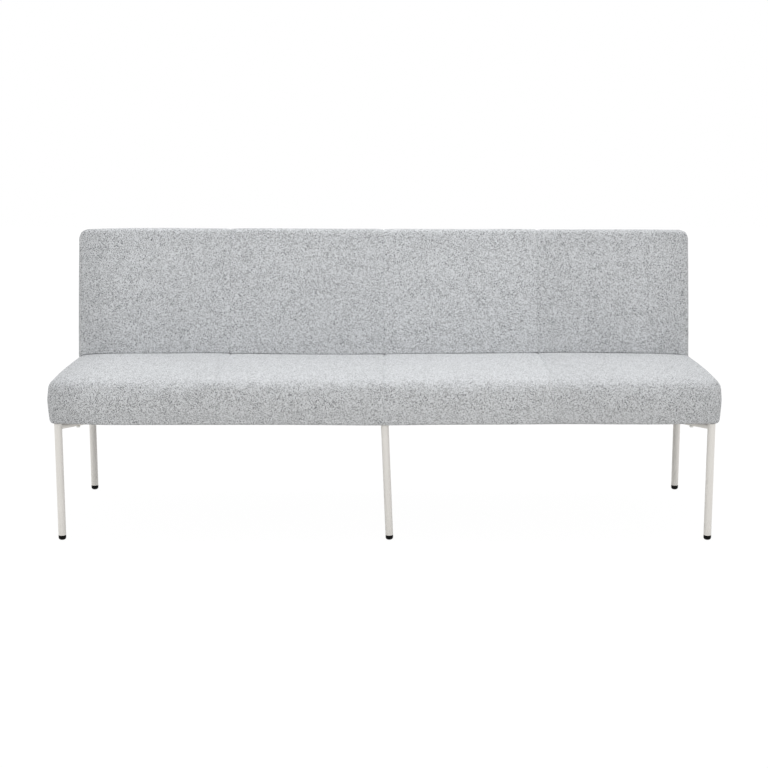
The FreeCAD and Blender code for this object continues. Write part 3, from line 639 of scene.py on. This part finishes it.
def make_back_cover():
    """Back cover: made upright, swollen, sewn, then leaned to its slope and set on the seat."""
    values = settings("sofa_upholstery")
    half = (BACK_BOX[1].x - BACK_BOX[0].x) / 2 + values.end_swell
    low = Vector((-half, 0.0, 0.0))
    high = Vector((half, values.back_thickness, values.back_height))

    def radius(middle):
        """Radius of an edge by where its middle is."""
        if near(middle.z, low.z):
            return values.back_lower_round
        if near(middle.z, high.z):
            return values.back_edge_round if near(middle.x, 0.0) else values.back_end_round
        return values.back_corner_round

    side = values.back_end_round
    margins = ((side, side), (side, side), (values.back_lower_round, side))
    piece = padded_block("BackCover", low, high, radius, margins)
    move_points(piece, lambda p: shape_back(p, low, high))

    def free(p):
        """Loose between the seams, tight at the foot and along the top."""
        foot = ramp(p.z, 0.0, BACK_FOOT_REACH)
        top = 1 - ramp(p.z, high.z - BACK_TOP_REACH, high.z - BACK_TOP_TIGHT)
        seam = ramp(seam_distance(p.x), SEAM_TIGHT, SEAM_LOOSE)
        rear = 1 - BACK_REAR_TIGHTNESS * ramp(p.y, high.y / 2, high.y)
        return foot * top * seam * rear

    swell(piece, free)
    apply_modifier(piece, "SUBSURF", levels=1, render_levels=1)
    cut_seams(piece)
    sew_seams(piece, lambda p: 1.0)
    move_points(piece, lambda p: unevenness(p + BACK_WAVE_PLACE, *BACK_WAVES, 0.0) - BACK_WAVE_PLACE)
    lay_weave(piece, (low.y, low.z), (high.y, high.z), BACK_CUT_PLACE)
    foot = Vector((values.back_offset, back_foot_y(), values.back_foot_level))
    lean = Matrix.Rotation(-values.back_recline, 4, "X")
    piece.data.transform(Matrix.Translation(foot) @ lean)
    set_on_seat(piece, foot, lean @ Vector((0.0, 0.0, 1.0)))
    activate(piece)
    bpy.ops.object.shade_smooth()
    dress(piece, cover_fabric())
    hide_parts("back_cover", "back_foam")


def set_on_seat(piece, foot, upward):
    """Moves the back's lowest points along its slope, so that its lower edge lies along the seat."""
    values = settings("sofa_upholstery")
    seat = bpy.data.objects["SeatCover"]
    above = BACK_BOX[1].z
    down = Vector((0.0, 0.0, -1.0))
    for point in piece.data.vertices:
        height = (point.co - foot).dot(upward)
        if height > BACK_FOOT_REACH:
            continue
        start = point.co - upward * height
        hit, place = seat.ray_cast(Vector((start.x, start.y, above)), down)[:2]
        if not hit:
            continue
        raised = (place.z + values.back_gap - start.z) / upward.z
        point.co += upward * (raised * (1 - ramp(height, 0.0, BACK_FOOT_REACH)))
    piece.data.update()


def back_foot_y():
    """Where the back's front face meets the seat, from the rear upper edge of the CAD back."""
    values = settings("sofa_upholstery")
    reach = values.back_height - BACK_CAD_ROUND
    rear = reach * math.sin(values.back_recline) + values.back_thickness * math.cos(values.back_recline)
    return BACK_BOX[1].y - rear


def make_dust_cover():
    """Dust cover: thin black nonwoven stretched under the seat, hemmed and stapled round its edge."""
    low, high = DUST_BOX
    clear_selection()
    bpy.ops.mesh.primitive_grid_add(x_subdivisions=DUST_FACES_X, y_subdivisions=DUST_FACES_Y, size=1.0)
    cover = bpy.context.object
    cover.name = "DustCover"
    cover.location = ((low.x + high.x) / 2, (low.y + high.y) / 2, high.z - DUST_THICKNESS)
    cover.scale = (high.x - low.x, high.y - low.y, 1.0)
    apply_transform(cover)

    def sag(point):
        """Hangs a little between its staples and in the middle."""
        side = min(point.x - low.x, high.x - point.x, point.y - low.y, high.y - point.y)
        wave = (1 + noise.noise(point * DUST_SAG_SCALE)) / 2
        point.z -= DUST_SAG * ramp(side, *DUST_SAG_REACH) * wave
        return point

    move_points(cover, sag)
    apply_modifier(cover, "SOLIDIFY", thickness=DUST_THICKNESS, offset=1.0)
    bpy.ops.object.shade_smooth()
    dress(cover, dust_fabric())
    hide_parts("seat_dust_cover")
    hem = make_hem(low, high)
    staples = make_staples(low, high)


def make_hem(low, high):
    """Hem: the dust cover's edge turned under itself all round."""
    clear_selection()
    bpy.ops.mesh.primitive_plane_add(size=1.0)
    hem = bpy.context.object
    hem.name = "DustCoverHem"
    hem.location = ((low.x + high.x) / 2, (low.y + high.y) / 2, high.z - 2 * DUST_THICKNESS)
    hem.scale = (high.x - low.x, high.y - low.y, 1.0)
    apply_transform(hem)
    bpy.ops.object.mode_set(mode="EDIT")
    bpy.ops.mesh.select_all(action="SELECT")
    bpy.ops.mesh.inset(thickness=HEM_WIDTH)
    bpy.ops.mesh.delete(type="FACE")
    bpy.ops.object.mode_set(mode="OBJECT")
    apply_modifier(hem, "SOLIDIFY", thickness=DUST_THICKNESS, offset=1.0)
    dress(hem, dust_fabric())
    return hem


def make_staples(low, high):
    """Staples: one flattened wire crown, copied along the dust cover's hem."""
    long, wide, thick = STAPLE_SIZE
    crown = add_block("DustStaples", (-long / 2, -wide / 2, -thick), (long / 2, wide / 2, 0.0))
    apply_modifier(crown, "BEVEL", width=STAPLE_BEVEL, segments=1)
    middle = (Vector(low) + Vector(high)) / 2
    half_x, half_y = (high.x - low.x) / 2 - STAPLE_INSET, (high.y - low.y) / 2 - STAPLE_INSET
    row_x, row_y = (even_places(STAPLE_CORNER - half, half - STAPLE_CORNER, STAPLE_PITCH)
                    for half in (half_x, half_y))
    across = [(x, side * half_y, 0.0) for side in (-1, 1) for x in row_x]
    along = [(side * half_x, y, 90.0) for side in (-1, 1) for y in row_y]
    copies = []
    for index, (x, y, angle) in enumerate(across + along):
        copy = crown.copy()
        copy.data = crown.data.copy()
        bpy.context.scene.collection.objects.link(copy)
        askew = STAPLE_ASKEW * noise.noise(Vector((index * STAPLE_CHANCE_STEP, *STAPLE_CHANCE_PLACE)))
        copy.location = (middle.x + x, middle.y + y, high.z - 2 * DUST_THICKNESS)
        copy.rotation_euler = (0.0, 0.0, math.radians(angle + askew))
        copies.append(copy)
    bpy.data.objects.remove(crown)
    activate(copies[0])
    for copy in copies:
        copy.select_set(True)
    bpy.ops.object.join()
    staples = bpy.context.object
    staples.name = "DustStaples"
    apply_transform(staples)
    dress(staples, zinc_steel())
    return staples


def dress(piece, material):
    """Gives a piece its material and its body."""
    piece.data.materials.clear()
    piece.data.materials.append(material)
    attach(piece, BODY)


class Recipe:
    """A material under construction, with short ways to add and join its nodes."""

    def __init__(self, name):
        self.material = bpy.data.materials.new(name)
        self.material.use_nodes = True
        self.tree = self.material.node_tree
        self.shader = self.tree.nodes["Principled BSDF"]

    def add(self, kind, inputs=None, **values):
        """Adds a node, sets its values and feeds its inputs, by name or number."""
        node = self.tree.nodes.new("ShaderNode" + kind)
        for name, value in values.items():
            setattr(node, name, value)
        for key, value in (inputs or {}).items():
            self.feed(node.inputs[key], value)
        return node

    def feed(self, socket, value):
        """Joins a socket to a node's first output or another socket, or sets its value."""
        if isinstance(value, bpy.types.Node):
            self.tree.links.new(value.outputs[0], socket)
        elif isinstance(value, bpy.types.NodeSocket):
            self.tree.links.new(value, socket)
        else:
            socket.default_value = value

    def math(self, operation, a, b=0.0, c=0.0):
        """Adds a calculation with up to three values."""
        return self.add("Math", {0: a, 1: b, 2: c}, operation=operation)

    def join(self, x, y, z=0.0):
        """Adds a vector made of three values."""
        return self.add("CombineXYZ", {0: x, 1: y, 2: z})

    def mix(self, factor, a, b):
        """Adds a colour between two colours."""
        node = self.add("Mix", data_type="RGBA")
        self.feed(node.inputs[0], factor)
        self.feed(node.inputs[6], a)
        self.feed(node.inputs[7], b)
        return node.outputs[2]

    def noise(self, vector, scale, detail=2.0, roughness=0.5):
        """Adds soft noise."""
        inputs = {"Vector": vector, "Scale": scale, "Detail": detail, "Roughness": roughness}
        return self.add("TexNoise", inputs)

    def points(self):
        """The piece's own coordinates, in metres."""
        return self.add("TexCoord").outputs["Object"]

    def bump(self, height, strength, distance):
        """Raises the surface by a height, on the shader."""
        node = self.add("Bump", {"Height": height, "Strength": strength, "Distance": distance})
        self.feed(self.shader.inputs["Normal"], node)

    def finish(self, **values):
        """Sets the shader's own sockets and gives the material back."""
        for name, value in values.items():
            self.feed(self.shader.inputs[name.replace("_", " ")], value)
        return self.material


def colour(values, share=1.0):
    """A colour with its alpha, made lighter or darker by a share."""
    return (values[0] * share, values[1] * share, values[2] * share, 1.0)


def cover_fabric():
    """Melange basket weave: light and dark yarns that go over and under each other."""
    made = bpy.data.materials.get("CoverFabric")
    if made:
        return made
    finish = settings("sofa_finish")
    cloth = Recipe("CoverFabric")
    laid = cloth.add("UVMap", uv_map="weave").outputs[0]
    wander = cloth.noise(laid, WANDER_SCALE, detail=1.0)
    middle = (NOISE_MIDDLE, NOISE_MIDDLE, NOISE_MIDDLE)
    drift = cloth.add("VectorMath", {0: wander.outputs["Color"], 1: middle}, operation="SUBTRACT")
    moved = cloth.add("VectorMath", {0: drift, 1: WANDER_WIDTH, 2: laid}, operation="MULTIPLY_ADD")
    counted = cloth.add("VectorMath", {0: moved, "Scale": 1 / finish.yarn_pitch}, operation="SCALE")
    parts = cloth.add("SeparateXYZ", {0: counted})
    warp = cloth.math("FLOOR", parts.outputs[0])
    weft = cloth.math("FLOOR", parts.outputs[1])
    warp_share = cloth.math("FRACT", parts.outputs[0])
    weft_share = cloth.math("FRACT", parts.outputs[1])
    over = cloth.math("ABSOLUTE", cloth.math("MODULO", cloth.math("ADD", warp, weft), 2.0))
    cell = cloth.add("TexWhiteNoise", {"Vector": cloth.join(warp, weft)}, noise_dimensions="2D")
    streaks = []
    for warp_scale, weft_scale in (WARP_STREAK, WEFT_STREAK):
        place = cloth.join(cloth.math("MULTIPLY", warp, warp_scale), cloth.math("MULTIPLY", weft, weft_scale))
        streaks.append(cloth.noise(place, scale=1.0, detail=1.0).outputs[0])
    streak = cloth.add("Mix", {0: over, 2: streaks[0], 3: streaks[1]}, data_type="FLOAT")
    streak = cloth.math("MULTIPLY", streak.outputs[0], STREAK_TONE)
    tone = cloth.math("MULTIPLY_ADD", cell.outputs[0], CELL_TONE, streak)
    cloud = cloth.noise(laid, CLOUD_SCALE, detail=3.0, roughness=0.6)
    cloud = cloth.math("SUBTRACT", cloud.outputs[0], NOISE_MIDDLE)
    tone = cloth.math("ADD", tone, cloth.math("MULTIPLY", cloud, CLOUD_TONE))
    limits = {0: tone, 1: TONE_DARK, 2: TONE_LIGHT, 3: 0.0, 4: 1.0}
    share = cloth.add("MapRange", limits, interpolation_type="SMOOTHSTEP")
    # Painted light: upward faces are drawn towards a lighter, evener tone, as the brightly lit top looks.
    wear_and_top_light = cloth.add("Attribute", attribute_name="wear_and_top_light").outputs["Fac"]
    wear_and_top_light = cloth.math("MULTIPLY", wear_and_top_light, finish.top_painted_light)
    share = cloth.add("Mix", {0: wear_and_top_light, 2: share, 3: TOP_LIGHT_TONE}, data_type="FLOAT")
    yarns = cloth.mix(share, colour(finish.yarn_dark), colour(finish.yarn_light))
    round_warp = cloth.math("SINE", cloth.math("MULTIPLY", warp_share, math.pi))
    round_weft = cloth.math("SINE", cloth.math("MULTIPLY", weft_share, math.pi))
    warp_end = cloth.math("MULTIPLY_ADD", round_weft, YARN_SWELL, YARN_FLAT)
    weft_end = cloth.math("MULTIPLY_ADD", round_warp, YARN_SWELL, YARN_FLAT)
    warp_height = cloth.math("MULTIPLY", round_warp, warp_end)
    weft_height = cloth.math("MULTIPLY", round_weft, weft_end)
    height = cloth.add("Mix", {0: over, 2: warp_height, 3: weft_height}, data_type="FLOAT")
    fuzz = cloth.noise(laid, FUZZ_SCALE, detail=2.0, roughness=0.7)
    height = cloth.math("MULTIPLY_ADD", fuzz.outputs[0], FUZZ_RELIEF, height.outputs[0])
    height = cloth.math("MULTIPLY_ADD", tone, TONE_RELIEF, height)
    gap = cloth.math("MULTIPLY_ADD", height, RELIEF_SHADE, GAP_SHADE)
    gap = cloth.math("MINIMUM", gap, SHADE_LIMIT)
    # Each panel's own tone, times the painted shade towards the sofa's ends.
    shade = cloth.add("Attribute", attribute_name="panel_shade").outputs["Fac"]
    shade = cloth.math("MULTIPLY", gap, shade)
    shaded = cloth.add("VectorMath", {0: yarns, "Scale": shade}, operation="SCALE")
    cloth.bump(height, strength=0.6, distance=0.0006)
    return cloth.finish(Base_Color=shaded, Roughness=0.92, Sheen_Weight=0.06, Sheen_Roughness=0.5,
                        Specular_IOR_Level=0.2)


def leg_paint():
    """Powder coat: fine orange peel under a satin skin."""
    finish = settings("sofa_finish")
    paint = Recipe("LegPaint")
    points = paint.points()
    peel = paint.noise(points, scale=650.0, detail=2.0)
    cloud = paint.noise(points, scale=12.0, detail=3.0)
    dark, light = (colour(finish.leg_paint, share) for share in PAINT_CLOUDS)
    tint = paint.mix(cloud.outputs[0], dark, light)
    paint.bump(peel.outputs[0], strength=0.25, distance=0.00008)
    return paint.finish(Base_Color=tint, Roughness=0.42, Specular_IOR_Level=0.45)


def glide_plastic():
    """Black moulded plastic, scuffed where it stands."""
    finish = settings("sofa_finish")
    plastic = Recipe("GlidePlastic")
    points = plastic.points()
    grain = plastic.noise(points, scale=900.0, detail=3.0)
    height = plastic.add("SeparateXYZ", {0: points}).outputs[2]
    scuff = plastic.add("MapRange", {0: height, 1: 0.0, 2: SCUFF_HEIGHT, 3: 1.0, 4: 0.0})
    # Real scuffs at the glide's foot.
    wear_and_top_light = plastic.math("MULTIPLY", scuff, grain.outputs[0])
    tint = plastic.mix(wear_and_top_light, colour(finish.glide_plastic), SCUFFED_PLASTIC)
    rough = plastic.math("MULTIPLY_ADD", grain.outputs[0], *PLASTIC_ROUGHNESS)
    plastic.bump(grain.outputs[0], strength=0.2, distance=0.0001)
    return plastic.finish(Base_Color=tint, Roughness=rough, Specular_IOR_Level=0.08)


def zinc_steel():
    """Bright zinc on bolts and nuts."""
    zinc = Recipe("ZincSteel")
    points = zinc.points()
    cloud = zinc.noise(points, scale=300.0, detail=3.0)
    tint = zinc.mix(cloud.outputs[0], *ZINC_TONES)
    rough = zinc.math("MULTIPLY_ADD", cloud.outputs[0], *ZINC_ROUGHNESS)
    zinc.bump(cloud.outputs[0], strength=0.15, distance=0.0001)
    return zinc.finish(Base_Color=tint, Roughness=rough, Metallic=1.0)


def bracket_lacquer():
    """Thin black lacquer on the bent brackets."""
    lacquer = Recipe("BracketLacquer")
    grain = lacquer.noise(lacquer.points(), scale=400.0, detail=3.0)
    tint = lacquer.mix(grain.outputs[0], *LACQUER_TONES)
    lacquer.bump(grain.outputs[0], strength=0.2, distance=0.0001)
    return lacquer.finish(Base_Color=tint, Roughness=0.45)


def wood(name, pale, dark, stretch):
    """Wood with its grain along one direction."""
    timber = Recipe(name)
    grain = timber.add("Mapping", {"Vector": timber.points(), "Scale": stretch})
    rings = timber.noise(grain, scale=30.0, detail=5.0, roughness=0.6)
    fibre = timber.noise(grain, scale=220.0, detail=2.0)
    ring_tone = timber.math("MULTIPLY", rings.outputs[0], WOOD_RING_TONE)
    tone = timber.math("MULTIPLY_ADD", fibre.outputs[0], WOOD_FIBRE_TONE, ring_tone)
    tint = timber.mix(tone, dark, pale)
    timber.bump(fibre.outputs[0], strength=0.3, distance=0.0003)
    return timber.finish(Base_Color=tint, Roughness=0.75)


def dust_fabric():
    """Black nonwoven fabric with its pressed dots."""
    finish = settings("sofa_finish")
    felt = Recipe("DustFabric")
    points = felt.points()
    dots = felt.add("TexVoronoi", {"Vector": points, "Scale": 420.0, "Randomness": 0.15})
    fibre = felt.noise(points, scale=900.0, detail=3.0, roughness=0.7)
    dot_tone = felt.math("MULTIPLY", dots.outputs[0], DUST_DOT_TONE)
    tone = felt.math("MULTIPLY_ADD", fibre.outputs[0], DUST_FIBRE_TONE, dot_tone)
    tint = felt.mix(tone, colour(finish.dust_fabric), colour(finish.dust_fabric, DUST_LIGHT_SHARE))
    felt.bump(tone, strength=0.4, distance=0.0003)
    return felt.finish(Base_Color=tint, Roughness=0.9)


def finish_nodes(material, names):
    """Gives some of the CAD's own pieces a material."""
    for name in names:
        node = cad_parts[name]
        node.data.materials.clear()
        node.data.materials.append(material)


def nodes_like(*words):
    """Names of the CAD pieces that hold one of some words."""
    return [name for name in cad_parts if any(word in name for word in words)]


class SofaOperator:
    """What every operator here shares: it can be undone and finishes at once."""

    bl_options = {"REGISTER", "UNDO"}

    def execute(self, context):
        """Makes or finishes the pieces."""
        self.make()
        return {"FINISHED"}


class SOFA_OT_seat_cover(SofaOperator, bpy.types.Operator):
    """Make the padded seat with its sewn cover"""

    bl_idname = "sofa.seat_cover"
    bl_label = "Seat cover"

    def make(self):
        """Makes the seat's cover."""
        make_seat_cover()


class SOFA_OT_back_cover(SofaOperator, bpy.types.Operator):
    """Make the padded back with its sewn cover"""

    bl_idname = "sofa.back_cover"
    bl_label = "Back cover"

    def make(self):
        """Makes the back's cover."""
        make_back_cover()


class SOFA_OT_legs(SofaOperator, bpy.types.Operator):
    """Paint the welded legs and finish their glides and bolts"""

    bl_idname = "sofa.legs"
    bl_label = "Legs"

    def make(self):
        """Finishes legs, glides and fasteners."""
        finish_nodes(leg_paint(), nodes_like("_leg"))
        finish_nodes(glide_plastic(), nodes_like("_glide"))
        finish_nodes(zinc_steel(), nodes_like("_bolts", "_nuts"))
        finish_nodes(bracket_lacquer(), nodes_like("back_bracket"))


class SOFA_OT_inside(SofaOperator, bpy.types.Operator):
    """Finish the wooden frames and make the dust cover"""

    bl_idname = "sofa.inside"
    bl_label = "Frames and foam"

    def make(self):
        """Finishes what lies under the covers."""
        timber = wood("FrameTimber", pale=(0.68, 0.52, 0.33, 1.0), dark=(0.45, 0.30, 0.16, 1.0),
                      stretch=(0.2, 1.0, 1.0))
        board = wood("PlywoodBoard", pale=(0.72, 0.58, 0.38, 1.0), dark=(0.55, 0.40, 0.24, 1.0),
                     stretch=(0.1, 1.0, 4.0))
        finish_nodes(timber, nodes_like("_rail", "back_stile", "block"))
        finish_nodes(board, nodes_like("deck", "plate", "back_panel"))
        make_dust_cover()


class SOFA_OT_stage(SofaOperator, bpy.types.Operator):
    """Set up the floor, the light and the camera"""

    bl_idname = "sofa.stage"
    bl_label = "Stage"

    def make(self):
        """Makes floor, world, lamp and camera."""
        make_floor()
        make_lights()
        make_camera()


def seen_share(tree):
    """1 where the camera looks, also in a reflection or through glass, and 0 for light on its way."""
    paths = tree.nodes.new("ShaderNodeLightPath")
    share = paths.outputs["Is Camera Ray"]
    for name in ("Is Glossy Ray", "Is Transmission Ray"):
        more = tree.nodes.new("ShaderNodeMath")
        more.operation = "MAXIMUM"
        tree.links.new(share, more.inputs[0])
        tree.links.new(paths.outputs[name], more.inputs[1])
        share = more.outputs[0]
    return share


def make_floor():
    """Pale floor that is seen white, keeps the sofa's shadow and fades into the white room."""
    values = settings("sofa_stage")
    clear_selection()
    bpy.ops.mesh.primitive_plane_add(size=values.floor_size, location=(0.0, 0.0, 0.0))
    floor = bpy.context.object
    floor.name = "Floor"
    paper = Recipe("FloorPaper")
    points = paper.points()
    grain = paper.noise(points, scale=4.0, detail=2.0)
    tint = paper.mix(grain.outputs[0], *FLOOR_TONES)
    apart = paper.add("VectorMath", {0: points}, operation="LENGTH").outputs["Value"]
    near_end, far_start = values.floor_fade
    fade = paper.add("MapRange", {0: apart, 1: near_end, 2: far_start, 3: values.floor_share, 4: 1.0})
    share = paper.math("MULTIPLY", seen_share(paper.tree), fade)
    white = paper.add("Emission", {"Color": WHITE, "Strength": values.floor_white})
    blend = paper.add("MixShader", {0: share, 1: paper.shader, 2: white})
    paper.feed(paper.tree.nodes["Material Output"].inputs["Surface"], blend)
    floor.data.materials.append(paper.finish(Base_Color=tint, Roughness=0.9))


def make_lights():
    """Even room light and a wide lamp overhead."""
    values = settings("sofa_stage")
    world = bpy.data.worlds.new("Studio")
    bpy.context.scene.world = world
    world.use_nodes = True
    background = world.node_tree.nodes["Background"]
    background.inputs["Color"].default_value = WHITE
    background.inputs["Strength"].default_value = values.world_light
    data = bpy.data.lights.new("TopLamp", "AREA")
    data.size = values.top_size
    data.energy = values.top_light
    lamp = bpy.data.objects.new("TopLamp", data)
    bpy.context.scene.collection.objects.link(lamp)
    lamp.location = (0.0, values.top_behind, values.top_height)
    lamp.rotation_euler = (-values.top_tilt, 0.0, 0.0)


def make_camera():
    """Camera at the height, distance and tilt of the photograph."""
    values = settings("sofa_stage")
    data = bpy.data.cameras.new("Camera")
    data.lens = values.camera_lens
    data.sensor_width = values.camera_sensor
    camera = bpy.data.objects.new("Camera", data)
    bpy.context.scene.collection.objects.link(camera)
    camera.location = (values.camera_side, -values.camera_distance, values.camera_height)
    camera.rotation_euler = (math.radians(90.0) - values.camera_tilt, 0.0, 0.0)
    bpy.context.scene.camera = camera
    bpy.context.scene.view_settings.view_transform = "Standard"


class SOFA_PT_panel(bpy.types.Panel):
    """Lists the steps and settings of the sofa"""

    bl_idname = "SOFA_PT_panel"
    bl_label = "Dining sofa"
    bl_space_type = "VIEW_3D"
    bl_region_type = "UI"
    bl_category = "Sofa"

    def draw(self, context):
        """Draws the buttons and the settings."""
        layout = self.layout
        for step in STEPS:
            layout.operator(step.bl_idname)
        for group in GROUPS:
            for name in getattr(context.scene, group).bl_rna.properties.keys():
                if name not in ("rna_type", "name"):
                    layout.prop(getattr(context.scene, group), name)


STEPS = (SOFA_OT_seat_cover, SOFA_OT_back_cover, SOFA_OT_legs, SOFA_OT_inside, SOFA_OT_stage)
GROUPS = {"sofa_upholstery": SofaUpholstery, "sofa_finish": SofaFinish, "sofa_stage": SofaStage}


def register():
    """Registers the classes and hangs the settings on the scene."""
    for group, kind in GROUPS.items():
        bpy.utils.register_class(kind)
        setattr(bpy.types.Scene, group, bpy.props.PointerProperty(type=kind))
    for kind in STEPS + (SOFA_PT_panel,):
        bpy.utils.register_class(kind)


def unregister():
    """Takes the classes and the settings away again."""
    for kind in reversed(STEPS + (SOFA_PT_panel,)):
        bpy.utils.unregister_class(kind)
    for group, kind in GROUPS.items():
        delattr(bpy.types.Scene, group)
        bpy.utils.unregister_class(kind)


def main():
    """Makes the whole sofa."""
    register()
    bpy.ops.sofa.seat_cover()
    bpy.ops.sofa.back_cover()
    bpy.ops.sofa.legs()
    bpy.ops.sofa.inside()
    bpy.ops.sofa.stage()
    clear_selection()


if __name__ == "__main__":
    main()
